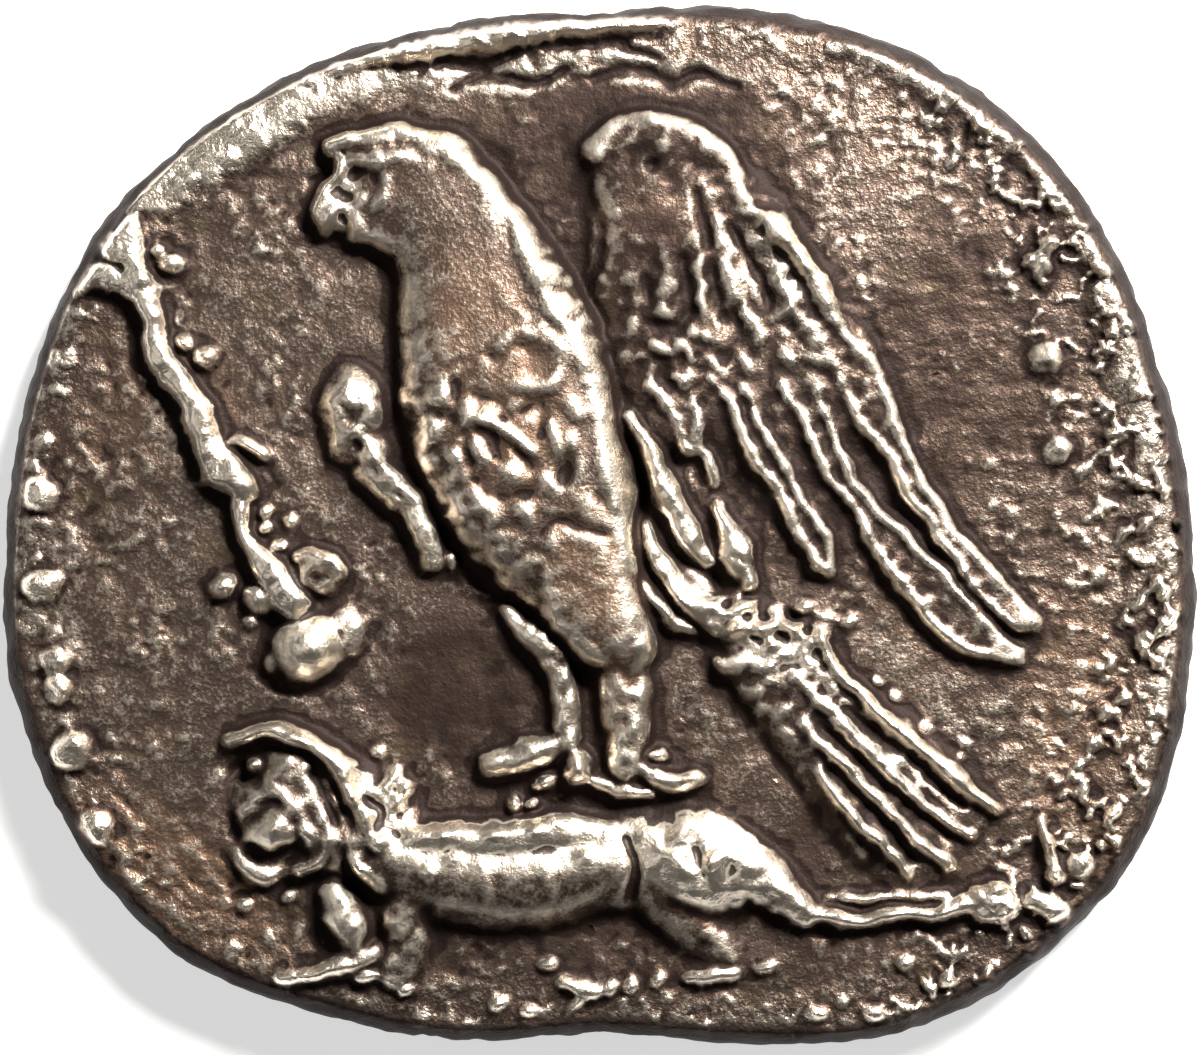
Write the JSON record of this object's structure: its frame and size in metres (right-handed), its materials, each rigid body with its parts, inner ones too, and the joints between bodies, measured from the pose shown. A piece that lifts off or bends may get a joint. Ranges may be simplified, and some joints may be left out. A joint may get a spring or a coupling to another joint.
{
  "type": "struck silver obol",
  "caption": "Small thin struck silver coin with an uneven edge: an eagle stands on a lion in low relief, worn, toned and lying flat.",
  "frame": {"origin": "on the resting plane, under the middle of the coin's bounding box", "axes": "+Z out of the eagle side, +Y past the eagle's head, +X towards its tail, along the coin's longest width"},
  "size_m": [0.0108, 0.0094, 0.0013],
  "materials": {
    "silver": "struck silver, worn bright on the high points and toned brown in the hollows"
  },
  "bodies": {
    "root": {"coin": "silver"}
  },
  "joints": []
}
